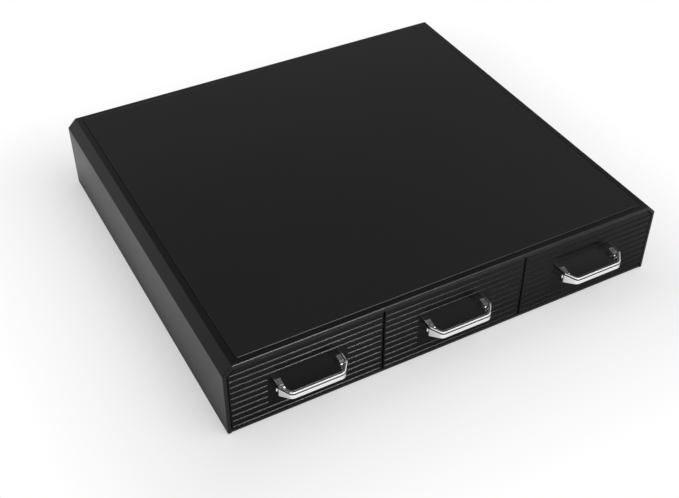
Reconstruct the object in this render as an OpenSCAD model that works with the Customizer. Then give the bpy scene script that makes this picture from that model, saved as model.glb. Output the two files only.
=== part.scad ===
// Coffee pod drawer: a low casing with three side-by-side drawers that slide out to the front.
// Millimetres, +Z up, drawers open towards -Y. The origin is the centre of the footprint,
// handles included, on the surface that the feet stand on.

/* [Casing] */
// Width of the casing
case_w = 340.4; // [300:0.1:380]
// Depth of the casing without the handles
case_d = 304.8; // [270:0.1:330]
// Height from the table to the top of the mat
overall_h = 61; // [60:0.5:80]
// Thickness of the side walls and of the rear wall
wall_t = 2.4; // [1.8:0.1:3]
// Thickness of the deck at its rim
deck_t = 2.8; // [2.2:0.1:4]
// Height and width of the 45 degree slope along both long top edges
slope = 6.8; // [4:0.1:10]
// Softened edge round the front opening
edge_soft = 0.5; // [0.2:0.1:1]

/* [Top mat] */
// Rim of the deck left free round the mat
mat_rim = 4.9; // [3:0.1:12]
// Thickness of the mat
mat_t = 1.4; // [1:0.1:1.8]
// Height of the mat above the rim
mat_proud = 0.4; // [0.2:0.1:0.6]
// Gap between the mat and its pocket
mat_gap = 0.4; // [0.2:0.1:1]
// Corner radius of the mat
mat_corner = 2; // [1:0.5:8]

/* [Base panel] */
// Thickness of the base panel
base_t = 2; // [1.8:0.1:3]
// Gap between the base panel and the walls round it
base_gap = 0.2; // [0.1:0.05:0.5]
// Height of the runner rails on the base panel
rail_h = 1.5; // [1:0.1:2]
// Width of a runner rail
rail_w = 3; // [2:0.5:5]
// Distance from the fronts' backs to the start of the rails
rail_start = 1; // [0.5:0.5:4]
// Distance between the two rails under a drawer
rail_span = 72; // [50:1:84]
// Length of a tongue that holds the base panel in the side walls
tongue_l = 16; // [8:1:24]
// How far a tongue stands into the side wall
tongue_in = 1.2; // [0.8:0.1:1.3]
// Thickness of a tongue
tongue_t = 1.2; // [0.8:0.1:1.6]
// Distance between neighbouring tongues
tongue_pitch = 120; // [60:1:125]

/* [Feet] */
// Radius of a rubber foot
foot_r = 6; // [4:0.5:9]
// Height of a rubber foot
foot_h = 2; // [1.6:0.1:2.4]
// Part of the foot that stands below the casing
foot_proud = 0.8; // [0.4:0.1:1.2]
// Softened lower edge of a foot
foot_soft = 0.4; // [0.1:0.1:0.6]
// Distance from a foot's centre to the casing's sides
foot_inset = 22; // [14:1:40]
// Wall round a foot's seat
foot_wall = 1.5; // [1:0.1:2.5]
// Height of the low boss that backs a foot's seat
foot_backing = 0.4; // [0.2:0.1:0.5]

/* [Ribs and dividers] */
// Depth of the ribs under the deck
rib_h = 2.5; // [1.5:0.1:3]
// Thickness of a rib
rib_t = 1.4; // [1:0.1:2.5]
// Distance between the ribs over a drawer
rib_pitch = 36; // [30:1:42]
// Distance from the fronts' backs to the first ribs
rib_start = 4; // [2:0.5:10]
// Thickness of a divider
divider_t = 1.8; // [1.2:0.1:2]
// Radius of the screw posts at both ends of a divider
post_r = 2.5; // [2.3:0.1:2.6]
// Distance from the fronts' backs to the front posts
post_front = 12; // [8:1:20]
// Distance from the trays' backs to the rear posts
post_rear = 8; // [6:1:16]
// Height of the channel ribs that hold a divider's foot
channel_h = 1.5; // [1:0.1:3]
// Free length between a post and the channel's end
channel_end = 1; // [0.5:0.5:4]
// Gap between a divider and its channels
channel_gap = 0.15; // [0.1:0.05:0.3]
// Radius of the screw bosses on the rear wall
boss_r = 3.2; // [2.8:0.1:4]
// Distance from the casing's sides to the outer rear bosses
boss_inset = 8.2; // [7:0.1:20]

/* [Drawer fronts] */
// Thickness of a drawer front
front_t = 3.6; // [3:0.1:5]
// Gap between neighbouring fronts
front_gap = 0.8; // [0.5:0.1:1.5]
// Gap between the fronts and the casing
edge_gap = 0.5; // [0.3:0.1:1]
// Softened edge of a front
front_soft = 0.5; // [0.2:0.1:1]
// Number of grooves in a front
groove_n = 10; // [4:1:10]
// Distance between two grooves
groove_pitch = 5.2; // [4:0.1:5.3]
// Distance from a front's top edge to its first groove
groove_first = 4.8; // [3:0.1:6]
// Radius of a groove
groove_r = 0.75; // [0.4:0.05:1]
// Plain edge at both ends of a groove
groove_margin = 1.1; // [0.6:0.1:4]
// Width of the plain field behind the handle
field_w = 57.6; // [52:0.1:80]
// First groove that the plain field interrupts, counted from the top
field_first = 4; // [2:1:5]
// Last groove that the plain field interrupts
field_last = 8; // [6:1:9]

/* [Handle] */
// Width of the handle over its feet
handle_w = 50; // [46:0.1:60]
// Width of the handle over its grip
grip_w = 38; // [30:0.1:44]
// How far the handle stands out
handle_out = 15; // [12:0.1:30]
// Length of the straight part of a leg at the foot
leg_straight = 6.7; // [5:0.1:9]
// Height of a foot
foot_end_h = 8.4; // [7:0.1:12]
// Height of the grip
grip_h = 5.2; // [4:0.1:7]
// Thickness of the handle's strap at the grip
strap_t = 2.6; // [2.2:0.1:3]
// Thickness of the strap at its feet
strap_foot_t = 1.6; // [1.2:0.1:2]
// Radius of the bend between leg and grip
bend_r = 4.5; // [3:0.1:6]
// Radius of the knee in a leg
knee_r = 3; // [3:0.1:5]
// Softened edges of the strap
strap_soft = 0.35; // [0.2:0.05:0.5]
// Distance from the strap's outside to the ridge along its top
ridge_in = 1.4; // [0.8:0.1:1.6]
// Rise of that ridge above the strap's edges
ridge_up = 0.3; // [0.1:0.05:0.6]
// Height of the handle's centre line above the table
handle_z = 30.4; // [24:0.1:36]
// Thickness of the mount inside each foot
mount_t = 3.4; // [3:0.1:4]
// Length of a mount
mount_l = 7.8; // [7:0.1:8.4]
// Height of a mount at the drawer front
mount_h = 7.6; // [6:0.1:8.4]
// Radius of a mount's nose
mount_nose = 2.4; // [1.8:0.1:3]
// Gap between a mount and the strap
mount_gap = 0.05; // [0.03:0.01:0.1]
// Distance from the drawer front to the pin through foot and mount
pin_out = 4.6; // [4.4:0.1:5.4]
// Radius of that pin
pin_r = 0.9; // [0.6:0.1:1.1]
// Radius of the pin's head
pin_head_r = 1.4; // [1.2:0.1:1.8]
// Height of the pin's head
pin_head_h = 0.8; // [0.4:0.1:1]

/* [Trays] */
// How far a drawer front stands past its tray at each side
tray_inset = 2.6; // [2.4:0.1:3.4]
// Height of a tray
tray_h = 48; // [40:0.5:49]
// Thickness of a tray's walls
tray_t = 1.8; // [1.4:0.1:2.4]
// Thickness of a tray's floor
floor_t = 2; // [1.5:0.1:3]
// How far the walls draw in from rim to floor
draft = 0.8; // [0.2:0.1:1.5]
// Corner radius of a tray
tray_corner = 4; // [3:0.5:10]
// Running gap between a tray and its rails
slide_gap = 0.3; // [0.2:0.05:0.6]
// Gap between a guide rib and the rail beside it
guide_gap = 0.5; // [0.3:0.05:1]
// Thickness of a guide rib under the tray
guide_t = 1.2; // [0.8:0.1:2]
// Depth of a guide rib under the tray
guide_h = 1; // [0.6:0.1:1.2]
// Free space between a tray and the rear bosses
rear_gap = 0.6; // [0.4:0.1:4]
// Height of the side walls where they are cut low
side_low = 30; // [20:1:40]
// Length of the full-height wall at each end of a side
side_end = 34; // [24:1:60]
// Corner radius of the cut in a side wall
side_corner = 12; // [6:1:16]
// How far a drawer slides out
travel = 250; // [200:1:255]

/* [Pod seats] */
// Rows of pods in a drawer
pod_rows = 5; // [3:1:5]
// Columns of pods in a drawer
pod_cols = 2; // [1:1:2]
// Inner radius of a ring that a pod stands in
seat_r = 20; // [18:0.5:22]
// Thickness of a ring
seat_t = 1.2; // [0.8:0.1:2]
// Height of a ring
seat_h = 2; // [1:0.1:4]

/* [Stop tabs] */
// Width of a stop tab on a tray's rear wall
tab_w = 12; // [8:1:16]
// Gap between a stop tab and the deck
tab_gap = 0.8; // [0.4:0.1:1]
// Width of the slits that let a stop tab flex
slit_w = 1.2; // [0.8:0.1:2]
// Depth of those slits below the tray's rim
slit_d = 18; // [8:1:30]

/* [Screws] */
// Shank radius of the base screws and the front screws
screw_r = 1.2; // [0.8:0.05:1.3]
// Shank radius of the handle screws
handle_screw_r = 1; // [0.8:0.05:1.2]
// Gap between a shank and its pilot hole
pilot_gap = 0.05; // [0.03:0.01:0.1]
// Gap between a shank and a clearance hole
clear_gap = 0.2; // [0.1:0.05:0.4]
// Gap between a screw's tip and the end of its hole
tip_gap = 0.4; // [0.2:0.1:1]
// Head radius of every screw
head_r = 2.4; // [2:0.1:2.6]
// Height of a pan head
head_h = 1.4; // [1:0.1:2]
// Depth of the cross recess in a head
cross_d = 0.8; // [0.4:0.1:0.9]
// Depth of a base screw in its post or boss
base_bite = 9; // [5:0.5:14]
// Depth of a handle screw in its mount
handle_bite = 2.8; // [2:0.1:2.8]
// Depth of a front screw in the drawer front
front_bite = 2; // [1.5:0.1:2.2]
// Distance from a tray's sides to its front screws
front_screw_inset = 10.9; // [9:0.1:20]
// Upright distance between a drawer's front screws
front_screw_z = 33; // [20:1:36]

/* [Hidden] */

// A cut or a join runs this far past its face
eps = 0.5;
// A slab this thin stands for a face in a hull
thin = 0.01;
// Roundness of drilled holes and small rounds
$fn = 48;

// Places along Y
case_front = (handle_out - case_d) / 2;
case_back = case_front + case_d;
rear_inner = case_back - wall_t;
boss_y = rear_inner - boss_r + eps;
front_back = case_front + front_t;
tray_back = boss_y - boss_r - rear_gap;
post_front_y = front_back + post_front;
post_rear_y = tray_back - post_rear;

// Rear face of the stop rib under the deck, which the tabs meet when a drawer is fully out
stop_y = tray_back - tray_t - travel - slide_gap;

// Places along Z
case_z0 = foot_proud;
case_top = overall_h - mat_proud;
deck_under = case_top - deck_t;
rib_under = deck_under - rib_h;
base_top = case_z0 + base_t;
tray_z0 = base_top + rail_h + slide_gap;
tray_top = tray_z0 + tray_h;
front_z0 = base_top + edge_gap;
front_z1 = deck_under - edge_gap;

// Places along X
half_w = case_w / 2;
inner_w = half_w - wall_t;
front_w = (2 * inner_w - 2 * edge_gap - 2 * front_gap) / 3;
drawer_pitch = front_w + front_gap;
divider_x = drawer_pitch / 2;
tray_w = front_w - 2 * tray_inset;
pod_pitch = (tray_w - 2 * tray_t - 2 * draft) / pod_cols;
boss_x = half_w - boss_inset;

// Half distance between the two ribs of a divider's channel, and the channel's clear width
channel_rib_x = divider_t / 2 + channel_gap + rib_t / 2;
channel_w = divider_t + 2 * channel_gap;

// A slope's line moves in by this much along X when the slope moves square to itself
function slope_shift(d) = d * (sqrt(2) - 1);

// Mat and its pocket
mat_w = case_w - 2 * slope - 2 * mat_rim;
mat_d = case_d - 2 * mat_rim;
mat_y = case_front + case_d / 2;

// Drawer side names stand for these places
LEFT = -1;
MIDDLE = 0;
RIGHT = 1;

// Colours
casing_colour = [0.16, 0.16, 0.165];
mat_colour = [0.13, 0.13, 0.135];
front_colour = [0.09, 0.09, 0.095];
tray_colour = [0.11, 0.11, 0.115];
chrome_colour = [0.86, 0.87, 0.88];
steel_colour = [0.55, 0.56, 0.58];
rubber_colour = [0.06, 0.06, 0.06];

// ---- Shared shapes ----

// A rectangle from (x0, y0) to (x1, y1) with round corners
module rounded_rect(x0, x1, y0, y1, r) {
    translate([x0 + r, y0])
        square([x1 - x0 - 2 * r, y1 - y0]);
    translate([x0, y0 + r])
        square([x1 - x0, y1 - y0 - 2 * r]);
    for (x = [x0 + r, x1 - r], y = [y0 + r, y1 - r])
        translate([x, y])
            circle(r);
}

// Turns a drawing in X and Z into a solid from y0 towards +Y
module extrude_back(y0, length) {
    translate([0, y0, 0])
        rotate([90, 0, 0])
            translate([0, 0, -length])
                linear_extrude(length)
                    children();
}

// The casing's outline in X and Z, moved in by d on its sides, slopes and top
function case_outline(d, bottom) = [
    [-half_w + d, bottom],
    [half_w - d, bottom],
    [half_w - d, case_top - slope - slope_shift(d)],
    [half_w - slope - slope_shift(d), case_top - d],
    [-half_w + slope + slope_shift(d), case_top - d],
    [-half_w + d, case_top - slope - slope_shift(d)]
];

// A screw along +Z whose head sits on z = 0 and points down
module pan_screw(r, length) {
    difference() {
        union() {
            cylinder(r = r, h = length);
            translate([0, 0, -head_h])
                cylinder(r = head_r, h = head_h);
        }
        cross_recess(-head_h);
    }
}

// A countersunk screw along +Z with its head flush at z = 0
module flush_screw(length) {
    difference() {
        union() {
            cylinder(r = screw_r, h = length);
            cylinder(r1 = head_r, r2 = screw_r, h = head_r - screw_r);
        }
        cross_recess(0);
    }
}

// Two crossed slots that start at height z
module cross_recess(z) {
    arm = head_r * 1.2;
    slot = head_r * 0.25;
    for (turn = [0, 90])
        rotate([0, 0, turn])
            translate([-arm / 2, -slot / 2, z - eps])
                cube([arm, slot, cross_d + eps]);
}

// ---- Casing ----

// Deck, slopes, side walls and rear wall in one moulding
module casing_shell() {
    color(casing_colour)
        difference() {
            union() {
                difference() {
                    casing_body();
                    extrude_back(case_front - eps, case_d - wall_t + eps)
                        polygon(case_inside());
                }
                deck_ribs();
                rear_bosses();
            }
            mat_pocket();
            tongue_pockets();
            for (x = [-boss_x, 0, boss_x])
                translate([x, boss_y, base_top - eps])
                    cylinder(r = screw_r + pilot_gap, h = base_bite + tip_gap + eps);
        }
}

// The solid block inside the casing's outline, its front edges softened
module casing_body() {
    extrude_back(case_front + edge_soft, case_d - edge_soft)
        polygon(case_outline(0, case_z0));
    hull() {
        extrude_back(case_front, thin)
            polygon(case_outline(edge_soft, case_z0));
        extrude_back(case_front + edge_soft, thin)
            polygon(case_outline(0, case_z0));
    }
}

// The space inside the casing: as thick as the walls at the sides and slopes, as the deck on top
function case_inside() = [
    [-inner_w, case_z0 - eps],
    [inner_w, case_z0 - eps],
    [inner_w, case_top - slope - slope_shift(wall_t)],
    [slope_inner_x(deck_under), deck_under],
    [-slope_inner_x(deck_under), deck_under],
    [-inner_w, case_top - slope - slope_shift(wall_t)]
];

// Half width of the inside of the slopes at height z
function slope_inner_x(z) = half_w + case_top - slope - wall_t * sqrt(2) - z;

// Ribs under the deck: lengthwise over each drawer, in pairs over the dividers, and crosswise
module deck_ribs() {
    rib_front = front_back + rib_start;
    rib_len = rear_inner - rib_front + eps;
    for (side = [LEFT, MIDDLE, RIGHT], k = [-1, 0, 1])
        translate([side * drawer_pitch + k * rib_pitch - rib_t / 2, rib_front, rib_under])
            cube([rib_t, rib_len, rib_h + eps]);
    for (side = [-1, 1], flank = [-1, 1])
        translate([side * divider_x + flank * channel_rib_x - rib_t / 2, rib_front, rib_under])
            cube([rib_t, rib_len, rib_h + eps]);
    for (y = [rib_front, stop_y - rib_t])
        difference() {
            translate([-inner_w - eps, y, rib_under])
                cube([2 * inner_w + 2 * eps, rib_t, rib_h + eps]);
            for (side = [-1, 1])
                translate([side * divider_x - channel_w / 2, y - eps, rib_under - eps])
                    cube([channel_w, rib_t + 2 * eps, rib_h + eps]);
            outside_slopes();
        }
}

// Everything beyond the middle of the slopes and walls, which trims the crosswise ribs
module outside_slopes() {
    difference() {
        extrude_back(case_front, case_d)
            polygon(case_outline(-2 * wall_t, case_z0));
        extrude_back(case_front - eps, case_d + 2 * eps)
            polygon(case_outline(wall_t / 2, case_z0 - eps));
    }
}

// Screw bosses that stand on the rear wall, from the deck down to the base panel
module rear_bosses() {
    for (x = [-boss_x, 0, boss_x])
        translate([x, boss_y, base_top])
            cylinder(r = boss_r, h = boss_top(x) - base_top);
}

// The outer bosses end inside the slopes, the middle one inside the deck
function boss_top(x) = min(deck_under + eps, slope_inner_x(0) - abs(x) - boss_r + wall_t);

// The shallow pocket that the mat lies in
module mat_pocket() {
    grow = mat_gap;
    translate([0, 0, case_top - (mat_t - mat_proud)])
        linear_extrude(mat_t)
            rounded_rect(-mat_w / 2 - grow, mat_w / 2 + grow,
                mat_y - mat_d / 2 - grow, mat_y + mat_d / 2 + grow, mat_corner + grow);
}

// The mat that the coffee machine stands on, its upper edge softened
module top_mat() {
    soft = mat_proud * 0.75;
    color(mat_colour) {
        translate([0, 0, overall_h - mat_t])
            linear_extrude(mat_t - soft)
                mat_outline(0);
        hull() {
            translate([0, 0, overall_h - soft - thin])
                linear_extrude(thin)
                    mat_outline(0);
            translate([0, 0, overall_h - thin])
                linear_extrude(thin)
                    mat_outline(soft);
        }
    }
}

module mat_outline(d) {
    rounded_rect(-mat_w / 2 + d, mat_w / 2 - d, mat_y - mat_d / 2 + d, mat_y + mat_d / 2 - d, mat_corner);
}

// ---- Base ----

// Panel between the walls, with runner rails, divider channels, tongues, screw and foot seats
module base_panel() {
    side = inner_w - base_gap;
    front_edge = case_front + edge_soft;
    length = rear_inner - base_gap - front_edge;
    color(casing_colour)
        difference() {
            union() {
                translate([-side, front_edge, case_z0])
                    cube([2 * side, length, base_t]);
                runner_rails();
                divider_channels();
                tongues();
                foot_bosses();
            }
            foot_seats();
            for (p = base_screw_places())
                translate([p[0], p[1], case_z0])
                    flush_hole();
        }
}

// Two rails under each drawer, from behind the front to the rear bosses
module runner_rails() {
    for (drawer = [LEFT, MIDDLE, RIGHT], flank = [-1, 1])
        translate([drawer * drawer_pitch + flank * rail_span / 2 - rail_w / 2, front_back + rail_start,
                base_top - eps])
            cube([rail_w, tray_back - front_back - rail_start, rail_h + eps]);
}

// Pairs of low ribs that hold the dividers' feet between the posts
module divider_channels() {
    start = post_front_y + post_r + channel_end;
    stop = post_rear_y - post_r - channel_end;
    for (side = [-1, 1], flank = [-1, 1])
        translate([side * divider_x + flank * channel_rib_x - rib_t / 2, start, base_top - eps])
            cube([rib_t, stop - start, channel_h + eps]);
}

// Tongues along both sides of the base panel, and the pockets that they enter
module tongues() {
    for (side = [-1, 1], k = [-1, 0, 1])
        translate([side * (inner_w + tongue_in / 2 - base_gap / 2 - eps / 2), mat_y + k * tongue_pitch,
                tongue_z()])
            cube([tongue_in + base_gap + eps, tongue_l, tongue_t], center = true);
}

module tongue_pockets() {
    for (side = [-1, 1], k = [-1, 0, 1])
        translate([side * inner_w, mat_y + k * tongue_pitch, tongue_z()])
            cube([2 * tongue_in, tongue_l, tongue_t] + 2 * base_gap * [1, 1, 1], center = true);
}

function tongue_z() = case_z0 + base_t / 2 + base_gap;

// Screws up through the base: into the dividers' posts and into the rear bosses
function base_screw_places() = concat(
    [for (side = [-1, 1], y = [post_front_y, post_rear_y]) [side * divider_x, y]],
    [for (x = [-boss_x, 0, boss_x]) [x, boss_y]]
);

// A countersunk hole through the base panel
module flush_hole() {
    translate([0, 0, -eps])
        cylinder(r = screw_r + clear_gap, h = base_t + 2 * eps);
    translate([0, 0, -eps])
        cylinder(r1 = head_r + clear_gap + eps, r2 = screw_r + clear_gap, h = head_r - screw_r + eps);
}

module base_screws() {
    color(steel_colour)
        for (p = base_screw_places())
            translate([p[0], p[1], case_z0])
                flush_screw(base_t + base_bite);
}

// Four feet near the corners
function foot_places() = [
    for (side = [-1, 1], y = [case_front + foot_inset, case_back - foot_inset])
        [side * (half_w - foot_inset), y]
];

// Round seats in the underside, backed by low bosses on the panel's upper face
module foot_bosses() {
    for (p = foot_places())
        translate([p[0], p[1], base_top - eps])
            cylinder(r = foot_r + foot_wall, h = foot_backing + eps);
}

module foot_seats() {
    for (p = foot_places())
        translate([p[0], p[1], case_z0 - eps])
            cylinder(r = foot_r + clear_gap, h = foot_h - foot_proud + eps);
}

module rubber_feet() {
    color(rubber_colour)
        for (p = foot_places())
            translate([p[0], p[1], 0])
                rotate_extrude()
                    polygon([
                        [0, 0], [foot_r - foot_soft, 0], [foot_r, foot_soft], [foot_r, foot_h], [0, foot_h]
                    ]);
}

// ---- Dividers ----

// An upright plate with a screw post at each end, between the deck's ribs and the base's channel
module divider(side) {
    color(casing_colour)
        translate([side * divider_x, 0, 0])
            difference() {
                union() {
                    translate([-divider_t / 2, post_front_y, base_top])
                        cube([divider_t, post_rear_y - post_front_y, deck_under - base_top]);
                    for (y = [post_front_y, post_rear_y])
                        translate([0, y, base_top])
                            cylinder(r = post_r, h = rib_under - slide_gap - base_top);
                }
                for (y = [post_front_y, post_rear_y])
                    translate([0, y, base_top - eps])
                        cylinder(r = screw_r + pilot_gap, h = base_bite + tip_gap + eps);
            }
}

module divider_left() {
    divider(-1);
}

module divider_right() {
    divider(1);
}

// ---- Drawers ----

// Moves a drawer's piece to its place
module at_drawer(side) {
    translate([side * drawer_pitch, 0, 0])
        children();
}

// Tray: drafted walls with low sides, ringed pod seats, guide ribs and two flexing stop tabs
module tray() {
    color(tray_colour)
        difference() {
            union() {
                difference() {
                    tray_hull(0, tray_z0, tray_top);
                    tray_hull(tray_t, tray_z0 + floor_t, tray_top + eps);
                }
                pod_seats();
                guide_ribs();
                stop_tabs();
            }
            side_cuts();
            tab_slits();
            front_holes();
        }
}

// The drafted block of a tray between two heights, moved in by d
module tray_hull(d, z0, z1) {
    hull() {
        tray_slab(d, z0, z0);
        tray_slab(d, z1, z1 - thin);
    }
}

// A thin slab of the tray's outline at height z, laid at height lay
module tray_slab(d, z, lay) {
    in = d + draft * (tray_top - z) / tray_h;
    side = tray_w / 2 - in;
    translate([0, 0, lay])
        linear_extrude(thin)
            rounded_rect(-side, side, front_back + d, tray_back - in, tray_corner - d);
}

// Low rings in rows and columns that each keep a pod's foot in place
module pod_seats() {
    row_pitch = (tray_back - front_back - 2 * tray_t) / pod_rows;
    for (row = [0 : pod_rows - 1], col = [0 : pod_cols - 1])
        translate([
            (col - (pod_cols - 1) / 2) * pod_pitch,
            front_back + tray_t + (row + 0.5) * row_pitch,
            tray_z0 + floor_t - eps
        ])
            difference() {
                cylinder(r = seat_r + seat_t, h = seat_h + eps);
                translate([0, 0, -eps])
                    cylinder(r = seat_r, h = seat_h + 3 * eps);
            }
}

// Ribs under the floor that run along both flanks of each rail
module guide_ribs() {
    for (rail = [-1, 1], flank = [-1, 1])
        translate([
            rail * rail_span / 2 + flank * (rail_w / 2 + guide_gap + guide_t / 2) - guide_t / 2,
            front_back + tray_corner,
            tray_z0 - guide_h
        ])
            cube([guide_t, tray_back - front_back - 2 * tray_corner, guide_h + eps]);
}

// Two tabs on the rear wall that reach up between the deck's ribs
module stop_tabs() {
    for (side = [-1, 1])
        translate([side * rib_pitch / 2 - tab_w / 2, tray_back - tray_t, tray_top - slit_d])
            cube([tab_w, tray_t, deck_under - tab_gap - tray_top + slit_d]);
}

// Slits on both sides of each tab
module tab_slits() {
    for (side = [-1, 1], flank = [-1, 1])
        translate([
            side * rib_pitch / 2 + flank * (tab_w + slit_w) / 2 - slit_w / 2,
            tray_back - tray_t - draft - eps,
            tray_top - slit_d
        ])
            cube([slit_w, tray_t + draft + 2 * eps, slit_d + eps]);
}

// The long low part of both side walls, with round lower corners
module side_cuts() {
    y0 = front_back + side_end;
    y1 = tray_back - side_end;
    z0 = tray_z0 + side_low;
    rotate([90, 0, 90])
        translate([0, 0, -tray_w])
            linear_extrude(2 * tray_w)
                rounded_rect(y0, y1, z0, tray_top + side_corner * 2, side_corner);
}

// Clearance holes through the tray's front wall
module front_holes() {
    translate([0, front_back - eps, 0]) {
        for (p = handle_screw_places())
            hole_back(p, handle_screw_r + clear_gap, tray_t + 2 * eps);
        for (p = front_screw_places())
            hole_back(p, screw_r + clear_gap, tray_t + 2 * eps);
    }
}

// A round hole towards +Y at place p in X and Z
module hole_back(p, r, depth) {
    translate([p[0], 0, p[1]])
        rotate([-90, 0, 0])
            cylinder(r = r, h = depth);
}

// Screw places in X and Z
function handle_screw_places() = [
    for (side = [-1, 1])
        [side * (handle_w / 2 - strap_foot_t - mount_t / 2), handle_z]
];
function front_screw_places() = [
    for (side = [-1, 1], rise = [-1, 1])
        [side * (tray_w / 2 - front_screw_inset), (front_z0 + front_z1) / 2 + rise * front_screw_z / 2]
];

// A front's outline in X and Z, moved in by d; the outer fronts follow the casing's slopes
module front_outline(side, d) {
    intersection() {
        translate([-front_w / 2 + d, front_z0 + d])
            square([front_w - 2 * d, front_z1 - front_z0 - 2 * d]);
        translate([-side * drawer_pitch, 0])
            polygon(case_outline(wall_t + edge_gap + d, front_z0 - eps));
    }
}

// Drawer front with horizontal grooves and a plain field behind the handle
module drawer_front(side) {
    color(front_colour)
        difference() {
            union() {
                extrude_back(case_front + front_soft, front_t - front_soft)
                    front_outline(side, 0);
                hull() {
                    extrude_back(case_front, thin)
                        front_outline(side, front_soft);
                    extrude_back(case_front + front_soft, thin)
                        front_outline(side, 0);
                }
            }
            grooves(side);
            translate([0, case_front - eps, 0])
                for (p = handle_screw_places())
                    hole_back(p, handle_screw_r + clear_gap, front_t + 2 * eps);
            translate([0, front_back - front_bite - tip_gap, 0])
                for (p = front_screw_places())
                    hole_back(p, screw_r + pilot_gap, front_bite + tip_gap + eps);
        }
}

// Round-bottomed grooves, cut off at the margin and at the plain field
module grooves(side) {
    intersection() {
        union()
            for (k = [1 : groove_n])
                translate([-front_w / 2, case_front, front_z1 - groove_first - (k - 1) * groove_pitch])
                    rotate([0, 90, 0])
                        groove_run(k >= field_first && k <= field_last);
        extrude_back(case_front - 2 * groove_r, 4 * groove_r)
            front_outline(side, groove_margin);
    }
}

module groove_run(interrupted) {
    if (interrupted) {
        cylinder(r = groove_r, h = (front_w - field_w) / 2);
        translate([0, 0, (front_w + field_w) / 2])
            cylinder(r = groove_r, h = (front_w - field_w) / 2);
    } else {
        cylinder(r = groove_r, h = front_w);
    }
}

// ---- Handle ----

// Points on the round of radius r at corner b of the path a, b, c
function corner_arc(a, b, c, r, n) =
    let (
        u = (a - b) / norm(a - b),
        v = (c - b) / norm(c - b),
        half = acos(u * v) / 2,
        mid = b + (u + v) / norm(u + v) * r / sin(half),
        start = b + u * r / tan(half) - mid,
        turn = 180 - 2 * half,
        way = sign(u[0] * v[1] - u[1] * v[0])
    )
    [for (k = [0 : n]) let (t = -way * turn * k / n)
        mid + [start[0] * cos(t) - start[1] * sin(t), start[0] * sin(t) + start[1] * cos(t)]];

// Right half of the handle's outer path in plan, from the foot to the middle of the grip
foot_corner = [handle_w / 2, 0];
knee_corner = [handle_w / 2, -leg_straight];
bend_corner = [grip_w / 2, -handle_out];
grip_middle = [0, -handle_out];
half_path = concat(
    [foot_corner],
    corner_arc(foot_corner, knee_corner, bend_corner, knee_r, 4),
    corner_arc(knee_corner, bend_corner, grip_middle, bend_r, 8)
);
handle_path = concat(
    half_path,
    [for (k = [len(half_path) - 1 : -1 : 0]) [-half_path[k][0], half_path[k][1]]]
);

// Share of the way from the foot's section to the grip's section
function grip_share(p) = max(0, min(1, (-p[1] - leg_straight) / (handle_out - leg_straight)));
function between(a, b, share) = a + (b - a) * share;

// The strap's section: distance inwards from the path, and height, both grown outwards by g
function strap_section(h, t, g) = [
    [strap_soft, -h / 2 - g],
    [-g, -h / 2 + strap_soft],
    [-g, h / 2 - strap_soft],
    [strap_soft, h / 2 + g],
    [ridge_in * t / strap_t, h / 2 + ridge_up + g],
    [t - strap_soft, h / 2 + g],
    [t + g, h / 2 - strap_soft],
    [t + g, -h / 2 + strap_soft],
    [t - strap_soft, -h / 2 - g]
];

// Direction from the path into the handle at point k; the feet's ends are square to the front
function inward(k) =
    let (
        last = len(handle_path) - 1,
        along = k == 0 ? [0, -1] : k == last ? [0, 1] : handle_path[k + 1] - handle_path[k - 1]
    )
    [along[1], -along[0]] / norm(along);

// The strap's section at point k, laid across the path
function strap_ring(k, g) =
    let (
        p = handle_path[k],
        into = inward(k),
        share = grip_share(p)
    )
    [for (s = strap_section(between(foot_end_h, grip_h, share), between(strap_foot_t, strap_t, share), g))
        [p[0] + into[0] * s[0], p[1] + into[1] * s[0], s[1]]];

// The flat strap swept from foot to foot: tall and thin at the feet, low and thick at the grip
module strap(g) {
    rings = len(handle_path);
    sides = len(strap_ring(0, g));
    points = [for (k = [0 : rings - 1]) each strap_ring(k, g)];
    skin = [
        for (k = [0 : rings - 2], j = [0 : sides - 1])
            let (a = k * sides + j, b = k * sides + (j + 1) % sides)
            each [[a, b + sides, b], [a, a + sides, b + sides]]
    ];
    first_end = [[for (j = [0 : sides - 1]) j]];
    last_end = [[for (j = [sides - 1 : -1 : 0]) (rings - 1) * sides + j]];
    polyhedron(points, concat(skin, first_end, last_end));
}

// Moves a handle's piece from the origin to the drawer front
module at_handle() {
    translate([0, case_front, handle_z])
        children();
}

// Round holes along X for the pins through both feet
module pin_holes() {
    translate([-handle_w / 2 - eps, -pin_out, 0])
        rotate([0, 90, 0])
            cylinder(r = pin_r + pilot_gap, h = handle_w + 2 * eps);
}

// The bent strap that the hand pulls
module pull_handle() {
    color(chrome_colour)
        at_handle()
            difference() {
                strap(0);
                pin_holes();
            }
}

// Two mounts that sit inside the feet, each narrowing to a round nose, with a screw hole from behind
module handle_mounts() {
    color(chrome_colour)
        at_handle()
            difference() {
                for (side = [0, 1])
                    mirror([side, 0, 0])
                        mount_block();
                strap(mount_gap);
                pin_holes();
                for (p = handle_screw_places())
                    translate([p[0], eps, 0])
                        rotate([90, 0, 0])
                            cylinder(r = handle_screw_r + pilot_gap, h = handle_bite + tip_gap + eps);
            }
}

// The right mount's side view, as thick as the foot leaves room for
module mount_block() {
    nose_y = mount_l - mount_nose;
    translate([handle_w / 2 - strap_foot_t - mount_t, 0, 0])
        rotate([90, 0, 90])
            linear_extrude(mount_t) {
                polygon([
                    [0, -mount_h / 2], [0, mount_h / 2], [-nose_y, mount_nose], [-nose_y, -mount_nose]
                ]);
                translate([-nose_y, 0])
                    circle(mount_nose);
            }
}

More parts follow.
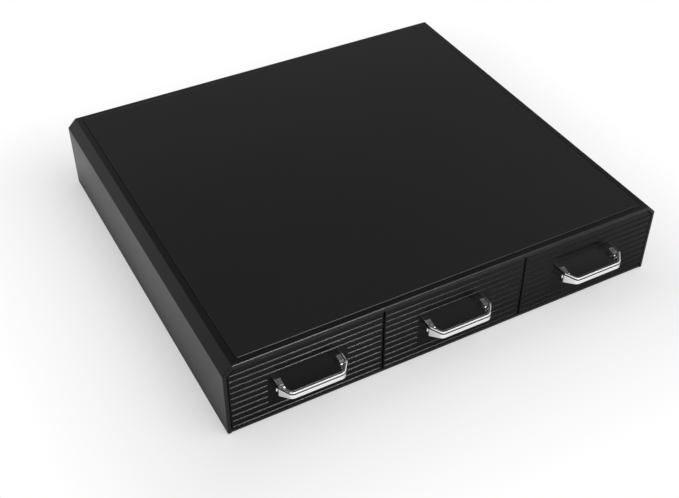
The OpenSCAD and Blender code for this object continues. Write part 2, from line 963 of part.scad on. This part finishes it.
// A pin through each foot and its mount, with a round head outside
module handle_pins() {
    color(chrome_colour)
        at_handle()
            for (side = [-1, 1])
                translate([side * handle_w / 2, -pin_out, 0])
                    rotate([0, side * 90, 0]) {
                        translate([0, 0, -strap_foot_t - mount_t])
                            cylinder(r = pin_r, h = strap_foot_t + mount_t);
                        cylinder(r = pin_head_r, h = pin_head_h / 2);
                        translate([0, 0, pin_head_h / 2])
                            cylinder(r1 = pin_head_r, r2 = pin_head_r - pin_head_h / 2, h = pin_head_h / 2);
                    }
}

// ---- Drawer screws ----

module handle_screws() {
    color(steel_colour)
        for (p = handle_screw_places())
            translate([p[0], front_back + tray_t, p[1]])
                rotate([90, 0, 0])
                    pan_screw(handle_screw_r, tray_t + front_t + handle_bite);
}

module front_screws() {
    color(steel_colour)
        for (p = front_screw_places())
            translate([p[0], front_back + tray_t, p[1]])
                rotate([90, 0, 0])
                    pan_screw(screw_r, tray_t + front_bite);
}

module tray_left() { at_drawer(LEFT) tray(); }
module tray_middle() { at_drawer(MIDDLE) tray(); }
module tray_right() { at_drawer(RIGHT) tray(); }
module front_left() { at_drawer(LEFT) drawer_front(LEFT); }
module front_middle() { at_drawer(MIDDLE) drawer_front(MIDDLE); }
module front_right() { at_drawer(RIGHT) drawer_front(RIGHT); }
module handle_left() { at_drawer(LEFT) pull_handle(); }
module handle_middle() { at_drawer(MIDDLE) pull_handle(); }
module handle_right() { at_drawer(RIGHT) pull_handle(); }
module handle_mounts_left() { at_drawer(LEFT) handle_mounts(); }
module handle_mounts_middle() { at_drawer(MIDDLE) handle_mounts(); }
module handle_mounts_right() { at_drawer(RIGHT) handle_mounts(); }
module handle_pins_left() { at_drawer(LEFT) handle_pins(); }
module handle_pins_middle() { at_drawer(MIDDLE) handle_pins(); }
module handle_pins_right() { at_drawer(RIGHT) handle_pins(); }
module handle_screws_left() { at_drawer(LEFT) handle_screws(); }
module handle_screws_middle() { at_drawer(MIDDLE) handle_screws(); }
module handle_screws_right() { at_drawer(RIGHT) handle_screws(); }
module front_screws_left() { at_drawer(LEFT) front_screws(); }
module front_screws_middle() { at_drawer(MIDDLE) front_screws(); }
module front_screws_right() { at_drawer(RIGHT) front_screws(); }

casing_shell();
base_panel();
top_mat();
divider_left();
divider_right();
base_screws();
rubber_feet();
tray_left();
tray_middle();
tray_right();
front_left();
front_middle();
front_right();
handle_left();
handle_middle();
handle_right();
handle_mounts_left();
handle_mounts_middle();
handle_mounts_right();
handle_pins_left();
handle_pins_middle();
handle_pins_right();
handle_screws_left();
handle_screws_middle();
handle_screws_right();
front_screws_left();
front_screws_middle();
front_screws_right();
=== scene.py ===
import math

import bpy
from mathutils import Matrix, Vector


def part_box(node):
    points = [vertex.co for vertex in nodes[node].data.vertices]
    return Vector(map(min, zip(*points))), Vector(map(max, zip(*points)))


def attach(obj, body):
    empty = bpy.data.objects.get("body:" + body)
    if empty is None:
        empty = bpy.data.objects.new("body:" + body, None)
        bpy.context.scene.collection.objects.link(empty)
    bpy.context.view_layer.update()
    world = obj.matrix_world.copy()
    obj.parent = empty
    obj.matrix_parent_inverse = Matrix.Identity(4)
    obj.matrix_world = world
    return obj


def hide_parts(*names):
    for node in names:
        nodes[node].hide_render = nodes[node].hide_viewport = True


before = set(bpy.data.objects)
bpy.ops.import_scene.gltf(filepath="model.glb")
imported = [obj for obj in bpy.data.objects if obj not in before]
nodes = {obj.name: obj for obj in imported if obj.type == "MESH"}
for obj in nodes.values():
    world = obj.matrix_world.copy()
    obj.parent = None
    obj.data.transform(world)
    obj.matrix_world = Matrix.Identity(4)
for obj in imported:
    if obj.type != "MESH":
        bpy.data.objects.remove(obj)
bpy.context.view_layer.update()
SIDES = ("left", "middle", "right")


# ---- Objects and the camera, in metres ----

# The photograph's viewing angle in degrees, and the camera's distance from its target
PHOTO_AZIMUTH = -28.4
PHOTO_ELEVATION = 40.83
PHOTO_DISTANCE = 0.78303
PHOTO_TARGET = (-0.03709, -0.04869, 0.030)
# In millimetres
LENS = 57.06
SENSOR_W = 36.0


def new_object(name, data):
    added = bpy.data.objects.new(name, data)
    bpy.context.scene.collection.objects.link(added)
    return added


def flat_mesh(name, width, height):
    """A rectangle in the XY plane, centred on the origin."""
    x, y = width / 2, height / 2
    mesh = bpy.data.meshes.new(name)
    mesh.from_pydata([(-x, -y, 0), (x, -y, 0), (x, y, 0), (-x, y, 0)], [], [(0, 1, 2, 3)])
    return mesh


def aim(thing, place, target):
    """Put thing at place, looking at target with +Z up."""
    thing.location = place
    look = Vector(target) - Vector(place)
    thing.rotation_euler = look.to_track_quat("-Z", "Y").to_euler()


def add_camera():
    azimuth = math.radians(PHOTO_AZIMUTH)
    elevation = math.radians(PHOTO_ELEVATION)
    target = Vector(PHOTO_TARGET)
    back = Vector((
        math.sin(azimuth) * math.cos(elevation),
        -math.cos(azimuth) * math.cos(elevation),
        math.sin(elevation),
    ))
    data = bpy.data.cameras.new("camera")
    data.sensor_width = SENSOR_W
    data.lens = LENS
    data.clip_start = 0.01
    data.clip_end = 50.0
    camera = new_object("camera", data)
    aim(camera, target + back * PHOTO_DISTANCE, target)
    bpy.context.scene.camera = camera


# ---- Node helpers ----

class Tree:
    """A short way to add nodes and links to a material or world."""

    def __init__(self, owner):
        owner.use_nodes = True
        self.tree = owner.node_tree
        self.tree.nodes.clear()

    def add(self, kind, **values):
        node = self.tree.nodes.new(kind)
        for key, value in values.items():
            setattr(node, key, value)
        return node

    def join(self, source, target):
        self.tree.links.new(source, target)

    def feed(self, value, target):
        """Set the socket target to a plain number, or link it to another node's socket."""
        if isinstance(value, float):
            target.default_value = value
        else:
            self.join(value, target)

    def place(self, scale=(1.0, 1.0, 1.0)):
        """The part's own coordinates in metres, stretched by scale."""
        coords = self.add("ShaderNodeTexCoord")
        mapping = self.add("ShaderNodeMapping")
        mapping.inputs["Scale"].default_value = scale
        self.join(coords.outputs["Object"], mapping.inputs["Vector"])
        return mapping.outputs["Vector"]

    def noise(self, where, scale, detail=3.0, rough=0.5, distortion=0.0):
        node = self.add("ShaderNodeTexNoise")
        node.inputs["Scale"].default_value = scale
        node.inputs["Detail"].default_value = detail
        node.inputs["Roughness"].default_value = rough
        node.inputs["Distortion"].default_value = distortion
        self.join(where, node.inputs["Vector"])
        return node.outputs["Fac"]

    def cells(self, where, scale, feature="F1"):
        node = self.add("ShaderNodeTexVoronoi", feature=feature)
        node.inputs["Scale"].default_value = scale
        self.join(where, node.inputs["Vector"])
        return node.outputs["Distance"]

    def spread(self, value, low, high, to_low, to_high):
        """Value from low..high to to_low..to_high."""
        node = self.add("ShaderNodeMapRange")
        node.inputs["From Min"].default_value = low
        node.inputs["From Max"].default_value = high
        node.inputs["To Min"].default_value = to_low
        node.inputs["To Max"].default_value = to_high
        self.join(value, node.inputs["Value"])
        return node.outputs["Result"]

    def ramp(self, value, first, last):
        """A colour ramp between two stops, each a position and a colour."""
        node = self.add("ShaderNodeValToRGB")
        for element, (at, colour) in zip(node.color_ramp.elements, (first, last)):
            element.position = at
            element.color = (*colour, 1.0)
        self.join(value, node.inputs["Fac"])
        return node.outputs["Color"]

    def math(self, operation, a, b):
        node = self.add("ShaderNodeMath", operation=operation)
        self.feed(a, node.inputs[0])
        self.feed(b, node.inputs[1])
        return node.outputs["Value"]

    def vector_math(self, operation, a):
        """A vector operation on a. Its second input, where it has one, keeps its own value."""
        node = self.add("ShaderNodeVectorMath", operation=operation)
        self.join(a, node.inputs[0])
        return node

    def bump(self, height, distance, strength, below=None):
        node = self.add("ShaderNodeBump")
        node.inputs["Distance"].default_value = distance
        self.feed(strength, node.inputs["Strength"])
        self.join(height, node.inputs["Height"])
        if below is not None:
            self.join(below, node.inputs["Normal"])
        return node.outputs["Normal"]

    def soft_edge(self, radius):
        """The surface's normal, turned smoothly round every edge within radius."""
        node = self.add("ShaderNodeBevel", samples=8)
        node.inputs["Radius"].default_value = radius
        return node.outputs["Normal"]

    def edge_mask(self, rounded):
        """0 on the flats, 1 on the edges that rounded turns, broken up by noise."""
        geometry = self.add("ShaderNodeNewGeometry")
        same = self.vector_math("DOT_PRODUCT", rounded)
        self.join(geometry.outputs["Normal"], same.inputs[1])
        edge = self.spread(same.outputs["Value"], 0.98, 0.75, 0.0, 1.0)
        patchy = self.spread(self.noise(self.place(), 90.0, 4.0), 0.35, 0.65, 0.4, 1.0)
        return self.math("MULTIPLY", edge, patchy)

    def surface(self, **values):
        shader = self.add("ShaderNodeBsdfPrincipled")
        output = self.add("ShaderNodeOutputMaterial")
        self.join(shader.outputs["BSDF"], output.inputs["Surface"])
        for key, value in values.items():
            shader.inputs[key.replace("_", " ")].default_value = value
        return shader

    def glow(self, tone):
        """A grey emission, where 1 is white."""
        node = self.add("ShaderNodeEmission")
        node.inputs["Color"].default_value = (tone, tone, tone, 1)
        return node.outputs["Emission"]

    def background(self, strength):
        node = self.add("ShaderNodeBackground")
        node.inputs["Color"].default_value = (1, 1, 1, 1)
        node.inputs["Strength"].default_value = strength
        return node.outputs["Background"]

    def blend(self, share, first, second, output):
        """First where share is 0, second where it is 1, as the tree's output."""
        mix = self.add("ShaderNodeMixShader")
        self.join(share, mix.inputs["Fac"])
        self.join(first, mix.inputs[1])
        self.join(second, mix.inputs[2])
        self.join(mix.outputs["Shader"], output.inputs["Surface"])


# ---- Materials: lengths in metres, texture scales per metre, colours linear ----

def moulded(name, dark, pale, rough, grain, depth, specular, edge_wear_and_highlight_tone, edge_radius,
            dull_above=None):
    """Spark-textured black plastic: a fine grain, and smoother, paler edges; the paler colour
    is edge wear and a painted highlight.

    Above the height dull_above it is rough, so that the edge under the casing's rim
    doesn't shine.
    """
    material = bpy.data.materials.new(name)
    t = Tree(material)
    where = t.place()
    shader = t.surface(Specular_IOR_Level=specular)

    patches = t.noise(where, 14.0, 4.0)
    fine = t.noise(where, grain, 2.0, 0.6)
    pits = t.cells(where, grain * 0.62)
    tone = t.ramp(patches, (0.3, dark), (0.7, pale))
    rounded = t.soft_edge(edge_radius)
    edge_share = t.edge_mask(rounded)
    # Paler base colour on the edges: edge wear together with a painted highlight along them
    mix = t.add("ShaderNodeMix", data_type="RGBA")
    t.join(edge_share, mix.inputs["Factor"])
    t.join(tone, mix.inputs["A"])
    mix.inputs["B"].default_value = (*edge_wear_and_highlight_tone, 1.0)
    t.join(mix.outputs["Result"], shader.inputs["Base Color"])

    gloss = t.spread(fine, 0.25, 0.75, rough - 0.05, rough + 0.07)
    smudge = t.spread(t.noise(where, 6.0, 3.0, 0.55, 0.6), 0.35, 0.7, 0.03, -0.03)
    polish = t.math("MULTIPLY", edge_share, -0.02)
    total = t.math("ADD", t.math("ADD", gloss, smudge), polish)
    if dull_above is not None:
        axes = t.add("ShaderNodeSeparateXYZ")
        t.join(where, axes.inputs["Vector"])
        dull = t.spread(axes.outputs["Z"], dull_above, dull_above + 0.0005, 0.0, 0.5)
        total = t.math("ADD", total, dull)
    t.join(total, shader.inputs["Roughness"])

    grain_left = t.spread(edge_share, 0.0, 0.4, 0.55, 0.06)
    low = t.bump(pits, depth, grain_left, rounded)
    t.join(t.bump(fine, depth * 0.7, grain_left, low), shader.inputs["Normal"])
    return material


def rubber(name, dark, pale, rough, grain, depth, specular, edge_radius):
    """Soft rubber sheet: a pebbled grain with faint dust, and a smoother edge."""
    material = bpy.data.materials.new(name)
    t = Tree(material)
    where = t.place()
    shader = t.surface(Specular_IOR_Level=specular)
    rounded = t.soft_edge(edge_radius)
    edge_share = t.edge_mask(rounded)

    pebbles = t.cells(where, grain, "SMOOTH_F1")
    fine = t.noise(where, grain * 2.2, 3.0, 0.6)
    broad = t.noise(where, 9.0, 4.0)
    hollows = t.spread(pebbles, 0.2, 0.6, 0.0, 1.0)
    dust = t.math("MULTIPLY", hollows, t.spread(broad, 0.3, 0.7, 0.2, 1.0))
    t.join(t.ramp(dust, (0.0, dark), (1.0, pale)), shader.inputs["Base Color"])

    gloss = t.spread(fine, 0.2, 0.8, rough - 0.06, rough + 0.08)
    polish = t.spread(edge_share, 0.0, 0.6, 0.0, -0.18)
    t.join(t.math("ADD", gloss, polish), shader.inputs["Roughness"])

    grain_left = t.spread(edge_share, 0.0, 0.4, 0.5, 0.06)
    low = t.bump(pebbles, depth, grain_left, rounded)
    t.join(t.bump(fine, depth * 0.6, grain_left, low), shader.inputs["Normal"])
    return material


def chrome(name, tint, rough):
    """Plated metal: near-mirror with hair scratches and a faint orange peel."""
    material = bpy.data.materials.new(name)
    t = Tree(material)
    where = t.place()
    shader = t.surface(Metallic=1.0)
    haze = t.noise(where, 60.0, 3.0)
    lines = t.noise(t.place((1.0, 9.0, 9.0)), 420.0, 2.0, 0.6)
    dimmed = tuple(c * 0.94 for c in tint)
    t.join(t.ramp(haze, (0.3, tint), (0.75, dimmed)), shader.inputs["Base Color"])

    gloss = t.spread(haze, 0.3, 0.7, rough, rough + 0.035)
    scratch = t.spread(lines, 0.62, 0.72, 0.0, 0.05)
    t.join(t.math("ADD", gloss, scratch), shader.inputs["Roughness"])

    peel = t.bump(t.noise(where, 300.0, 1.0), 0.00002, 0.25, t.soft_edge(0.00018))
    t.join(t.bump(lines, 0.000003, 0.3, peel), shader.inputs["Normal"])
    return material


def steel(name, dark, pale):
    """Zinc-plated screw steel, slightly mottled."""
    material = bpy.data.materials.new(name)
    t = Tree(material)
    shader = t.surface(Metallic=1.0)
    mottle = t.noise(t.place(), 700.0, 4.0)
    t.join(t.ramp(mottle, (0.3, dark), (0.7, pale)), shader.inputs["Base Color"])
    t.join(t.spread(mottle, 0.3, 0.7, 0.26, 0.42), shader.inputs["Roughness"])
    t.join(t.bump(mottle, 0.00003, 0.4), shader.inputs["Normal"])
    return material


# The edge tones are paler than the bodies: edge wear and a painted highlight on the edges
casing_black = moulded(
    "casing_black", dark=(0.0048, 0.0048, 0.0050), pale=(0.0064, 0.0064, 0.0067),
    rough=0.36, grain=2600.0, depth=0.00006, specular=0.18,
    edge_wear_and_highlight_tone=(0.020, 0.020, 0.021), edge_radius=0.0009,
)
front_black = moulded(
    "front_black", dark=(0.0014, 0.0014, 0.0015), pale=(0.0021, 0.0021, 0.0022),
    rough=0.28, grain=3000.0, depth=0.00001, specular=0.09,
    edge_wear_and_highlight_tone=(0.016, 0.016, 0.0165), edge_radius=0.0003, dull_above=0.0561,
)
base_black = moulded(
    "base_black", dark=(0.0060, 0.0060, 0.0063), pale=(0.0078, 0.0078, 0.0082),
    rough=0.46, grain=2200.0, depth=0.00008, specular=0.25,
    edge_wear_and_highlight_tone=(0.015, 0.015, 0.016), edge_radius=0.0003,
)
tray_black = moulded(
    "tray_black", dark=(0.0085, 0.0085, 0.0089), pale=(0.0108, 0.0108, 0.0113),
    rough=0.38, grain=2400.0, depth=0.00007, specular=0.30,
    edge_wear_and_highlight_tone=(0.018, 0.018, 0.019), edge_radius=0.0004,
)
mat_black = rubber(
    "mat_black", dark=(0.0085, 0.0085, 0.0088), pale=(0.0118, 0.0118, 0.0122),
    rough=0.46, grain=1500.0, depth=0.00008, specular=0.14, edge_radius=0.0005,
)
foot_black = rubber(
    "foot_black", dark=(0.0080, 0.0080, 0.0080), pale=(0.013, 0.013, 0.013),
    rough=0.70, grain=1400.0, depth=0.0001, specular=0.25, edge_radius=0.0003,
)
bright_chrome = chrome("bright_chrome", tint=(0.86, 0.865, 0.875), rough=0.045)
# Painted shade: a black material for the chrome strap's crease, standing for the shade in it
crease_painted_shade = moulded(
    "crease_painted_shade", dark=(0.0030, 0.0030, 0.0030), pale=(0.0050, 0.0050, 0.0050),
    rough=0.45, grain=2600.0, depth=0.00001, specular=0.15,
    edge_wear_and_highlight_tone=(0.0050, 0.0050, 0.0050), edge_radius=0.00005,
)
screw_metal = steel("screw_metal", dark=(0.50, 0.50, 0.48), pale=(0.66, 0.66, 0.64))


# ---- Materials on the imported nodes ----

def dress(node, material):
    for slot in nodes[node].material_slots:
        slot.material = material


dress("casing_shell", casing_black)
dress("base_panel", base_black)
dress("top_mat", mat_black)
dress("divider_left", casing_black)
dress("divider_right", casing_black)
dress("base_screws", screw_metal)
dress("rubber_feet", foot_black)
for side in SIDES:
    dress("tray_" + side, tray_black)
    dress("front_" + side, front_black)
    dress("handle_" + side, bright_chrome)
    dress("handle_mounts_" + side, bright_chrome)
    dress("handle_pins_" + side, bright_chrome)
    dress("handle_screws_" + side, screw_metal)
    dress("front_screws_" + side, screw_metal)


# ---- The handles' straps, which take the places of the plainer CAD ones ----

# Width over the feet and over the grip's outer corners
HANDLE_W, GRIP_W = 0.050, 0.038
# How far the grip and the knees stand out from the front
HANDLE_OUT, LEG = 0.015, 0.0067
# Radii of the knees and of the grip's bends in plan, and the steps in each round
KNEE_R, BEND_R = 0.003, 0.0045
KNEE_STEPS, BEND_STEPS = 8, 14
# Where the grip's straight part has points, on each side of its middle
GRIP_STATIONS = (0.012, 0.008, 0.004)
# Height and thickness of the strap at the feet and along the grip
FOOT_H, GRIP_H = 0.0084, 0.0052
FOOT_T, GRIP_T = 0.0016, 0.0026
# How far the pins stand out from the front, and the radius of their holes
PIN_OUT, PIN_HOLE_R = 0.0046, 0.00095
CUTTER_REACH, CUTTER_STEPS = 0.03, 32
# The strap's soft edges, and its chamfer as a share of its thickness
SOFT = 0.00035
CHAMFER_SHARE = 0.26
# The crease below the chamfer: depth inwards, and distance below the lip
CREASE = (
    (0.0, 0.00136), (0.00006, 0.00131), (0.00026, 0.00122),
    (0.00026, 0.00014), (0.00006, 0.00004),
)
# Which of the section's faces are the crease's: they take a black material, painted shade in
# the crease
CREASE_FACES = (4, 5, 6)
# Faces that meet at more than this, in degrees, keep a crisp edge between them
CRISP_ANGLE = 12


def round_corner(a, b, c, radius, steps):
    """Points on the round of the given radius at corner b of the path a, b, c."""
    u, v = (a - b).normalized(), (c - b).normalized()
    half = u.angle(v) / 2
    mid = b + (u + v).normalized() * radius / math.sin(half)
    start = b + u * radius / math.tan(half) - mid
    end = b + v * radius / math.tan(half) - mid
    turn = start.angle(end)
    points = []
    for k in range(steps + 1):
        share = k / steps
        arm = start * math.sin((1 - share) * turn) + end * math.sin(share * turn)
        points.append(mid + arm / math.sin(turn))
    return points


def strap_path():
    """The strap's outer line in plan from right foot to left, and the way inwards along it."""
    foot = Vector((HANDLE_W / 2, 0.0))
    knee = Vector((HANDLE_W / 2, -LEG))
    bend = Vector((GRIP_W / 2, -HANDLE_OUT))
    middle = Vector((0.0, -HANDLE_OUT))
    half = [foot, foot.lerp(knee, 0.5)]
    half += round_corner(foot, knee, bend, KNEE_R, KNEE_STEPS)
    half += round_corner(knee, bend, middle, BEND_R, BEND_STEPS)
    half += [Vector((x, -HANDLE_OUT)) for x in GRIP_STATIONS]
    path = half + [middle] + [Vector((-p.x, p.y)) for p in reversed(half)]
    inwards = []
    last = len(path) - 1
    for k in range(len(path)):
        along = path[min(k + 1, last)] - path[max(k - 1, 0)]
        if k in (0, last):
            along = Vector((0.0, -1.0 if k == 0 else 1.0))
        inwards.append(Vector((along.y, -along.x)).normalized())
    return path, inwards


def strap_section(height, thick):
    """Distance inwards and height: a flat face, a crease, a bright chamfer and a flat top."""
    top = height / 2
    chamfer = CHAMFER_SHARE * thick
    lip = top - chamfer
    return [
        (SOFT, -top), (0.4 * SOFT, -top + 0.12 * SOFT), (0.0, -top + 0.6 * SOFT),
        *((depth, lip - below) for depth, below in CREASE),
        (0.00004, lip + 0.00004), (chamfer - 0.00008, top - 0.00002),
        (chamfer + 0.00004, top + 0.00004), (thick - SOFT, top + 0.00008),
        (thick - 0.3 * SOFT, top - 0.3 * SOFT), (thick, top - SOFT),
        (thick, -top + SOFT), (thick - SOFT, -top),
    ]


def pin_hole_cutter():
    """A long round bar along X, as wide as the pins' holes."""
    turns = [2 * math.pi * k / CUTTER_STEPS for k in range(CUTTER_STEPS)]
    ring = [(math.cos(turn) * PIN_HOLE_R, math.sin(turn) * PIN_HOLE_R) for turn in turns]
    points = [(x, y - PIN_OUT, z) for x in (-CUTTER_REACH, CUTTER_REACH) for y, z in ring]
    faces = []
    for k in range(CUTTER_STEPS):
        after = (k + 1) % CUTTER_STEPS
        faces.append((k, k + CUTTER_STEPS, after + CUTTER_STEPS, after))
    faces.append(tuple(range(CUTTER_STEPS)))
    faces.append(tuple(range(2 * CUTTER_STEPS - 1, CUTTER_STEPS - 1, -1)))
    mesh = bpy.data.meshes.new("pin_hole_cutter")
    mesh.from_pydata(points, [], faces)
    return new_object("pin_hole_cutter", mesh)


def strap_sweep():
    """The strap's closed mesh from foot to foot, tall and thin at the feet."""
    path, inwards = strap_path()
    points, faces = [], []
    for place, into in zip(path, inwards):
        share = min(max((-place.y - LEG) / (HANDLE_OUT - LEG), 0.0), 1.0)
        height = FOOT_H + (GRIP_H - FOOT_H) * share
        thick = FOOT_T + (GRIP_T - FOOT_T) * share
        section = strap_section(height, thick)
        for depth, up in section:
            at = place + into * depth
            points.append((at.x, at.y, up))
    sides = len(section)
    for k in range(len(path) - 1):
        for j in range(sides):
            a, b = k * sides + j, k * sides + (j + 1) % sides
            faces.append((a, b, b + sides, a + sides))
    faces.append(tuple(range(sides - 1, -1, -1)))
    faces.append(tuple(range(len(points) - sides, len(points))))
    mesh = bpy.data.meshes.new("strap_solid")
    mesh.from_pydata(points, [], faces)
    # Chrome all round, and on the crease faces the black material: painted shade in the crease
    mesh.materials.append(bright_chrome)
    mesh.materials.append(crease_painted_shade)
    for face in mesh.polygons[:(len(path) - 1) * sides]:
        face.material_index = int(face.index % sides in CREASE_FACES)
    return mesh


def strap_mesh():
    """The strap with the pins' holes cut out."""
    solid = new_object("strap_solid", strap_sweep())
    cutter = pin_hole_cutter()
    cut = solid.modifiers.new("pin_holes", "BOOLEAN")
    cut.object = cutter
    cut.operation = "DIFFERENCE"
    cut.solver = "EXACT"
    ready = solid.evaluated_get(bpy.context.evaluated_depsgraph_get())
    result = bpy.data.meshes.new_from_object(ready)
    bpy.data.objects.remove(solid)
    bpy.data.objects.remove(cutter)
    result.shade_smooth()
    result.set_sharp_from_angle(angle=math.radians(CRISP_ANGLE))
    return result


def add_straps():
    shape = strap_mesh()
    for side in SIDES:
        low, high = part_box("handle_" + side)
        mesh = shape.copy()
        mesh.name = "strap_" + side
        centre = Vector(((low[0] + high[0]) / 2, high[1], low[2] + FOOT_H / 2))
        mesh.transform(Matrix.Translation(centre))
        strap = new_object("strap_" + side, mesh)
        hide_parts("handle_" + side)
        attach(strap, "drawer_" + side)


add_straps()


# ---- Floor, world, lamps and cards ----

FLOOR_W = 12.0
# The floor lies this far below the feet, so that the two don't share a plane
FLOOR_DROP = 0.0002
# Half the casing's width and depth, from which the floor's whiteness is measured
CASING_HALF = (0.170, 0.160, 0.0)
# How white the camera sees the floor beside the casing, and how far out it is all white
WHITE_NEAR = 0.42
WHITE_FROM = 0.11
# How far out the floor is all white in reflections
MIRRORED_WHITE_FROM = 0.027
# The world's strength as light on the object
ROOM_LIGHT = 0.62


def add_floor():
    mesh = flat_mesh("floor", FLOOR_W, FLOOR_W)
    floor = new_object("floor", mesh)
    floor.location = (0, 0, -FLOOR_DROP)
    material = bpy.data.materials.new("floor_white")
    t = Tree(material)
    where = t.place()
    output = t.add("ShaderNodeOutputMaterial")
    paint = t.add("ShaderNodeBsdfDiffuse")
    tone = t.ramp(t.noise(where, 3.0), (0.3, (0.90, 0.90, 0.90)), (0.7, (0.92, 0.92, 0.92)))
    t.join(tone, paint.inputs["Color"])

    # Distance outside the casing's rectangle
    outside = t.vector_math("SUBTRACT", t.vector_math("ABSOLUTE", where).outputs["Vector"])
    outside.inputs[1].default_value = CASING_HALF
    beyond = t.vector_math("MAXIMUM", outside.outputs["Vector"])
    away = t.vector_math("LENGTH", beyond.outputs["Vector"]).outputs["Value"]

    # White away from the object, and the painted floor with the shadow beside it
    far = t.spread(away, 0.0, WHITE_FROM, WHITE_NEAR, 1.0)
    mirrored = t.spread(away, 0.0, MIRRORED_WHITE_FROM, 0.0, 1.0)
    rays = t.add("ShaderNodeLightPath").outputs
    glossy = t.math("MAXIMUM", rays["Is Glossy Ray"], rays["Is Transmission Ray"])
    seen = t.math(
        "MAXIMUM",
        t.math("MULTIPLY", rays["Is Camera Ray"], far),
        t.math("MULTIPLY", glossy, mirrored),
    )
    t.blend(seen, paint.outputs["BSDF"], t.glow(1.0), output)
    mesh.materials.append(material)


def add_world():
    """An even white room: dimmer as light than as the background that the camera sees."""
    world = bpy.data.worlds.new("studio")
    bpy.context.scene.world = world
    t = Tree(world)
    output = t.add("ShaderNodeOutputWorld")
    rays = t.add("ShaderNodeLightPath").outputs
    seen = t.math("MAXIMUM", rays["Is Camera Ray"], rays["Is Glossy Ray"])
    seen = t.math("MAXIMUM", seen, rays["Is Transmission Ray"])
    t.blend(seen, t.background(ROOM_LIGHT), t.background(1.0), output)


def add_lamp(name, place, target, size, power):
    """A square area lamp. Size in metres, power in watts."""
    data = bpy.data.lights.new(name, "AREA")
    data.shape = "RECTANGLE"
    data.size = size
    data.size_y = size
    data.energy = power
    lamp = new_object(name, data)
    aim(lamp, place, target)
    lamp.visible_camera = False
    return lamp


def add_gloss_lamp(name, place, target, size, power, lit):
    """A lamp for highlights only: it shows in the sheen of the lit nodes and nowhere else."""
    lamp = add_lamp(name, place, target, size, power)
    lamp.visible_diffuse = False
    group = bpy.data.collections.new(name)
    for node in lit:
        group.objects.link(nodes[node])
    lamp.light_linking.receiver_collection = group


def add_card(name, place, target, width, height, tone):
    """A dark card beside the set: reflections see it, and it casts no shadow."""
    mesh = flat_mesh(name, width, height)
    card = new_object(name, mesh)
    aim(card, place, target)
    material = bpy.data.materials.new(name)
    t = Tree(material)
    output = t.add("ShaderNodeOutputMaterial")
    t.join(t.glow(tone), output.inputs["Surface"])
    mesh.materials.append(material)
    card.visible_camera = False
    card.visible_diffuse = False
    card.visible_shadow = False


bpy.context.scene.view_settings.view_transform = "Standard"
add_camera()
add_floor()
add_world()
add_lamp("key", place=(0.5, -0.9, 1.5), target=(0, 0, 0.03), size=1.5, power=10.0)
add_gloss_lamp(
    "groove_light", place=(0.265, -1.13, 0.70), target=(-0.05, -0.14, 0.03),
    size=0.34, power=64.0, lit=["front_" + side for side in SIDES],
)
add_gloss_lamp(
    "edge_light", place=(0.10, -0.98, 0.86), target=(-0.08, -0.14, 0.05),
    size=0.40, power=50.0, lit=["casing_shell"],
)
add_gloss_lamp(
    "mat_light", place=(0.14, -0.98, 0.86), target=(-0.08, -0.14, 0.05),
    size=0.40, power=60.0, lit=["top_mat"],
)
add_card(
    "ceiling", place=(0.55, 0.675, 0.95), target=(0.55, 0.675, 0.0),
    width=1.9, height=2.25, tone=0.08,
)
add_card(
    "left_card", place=(-0.92, -0.20, 0.60), target=(-0.13, -0.155, 0.03),
    width=1.0, height=0.9, tone=0.05,
)
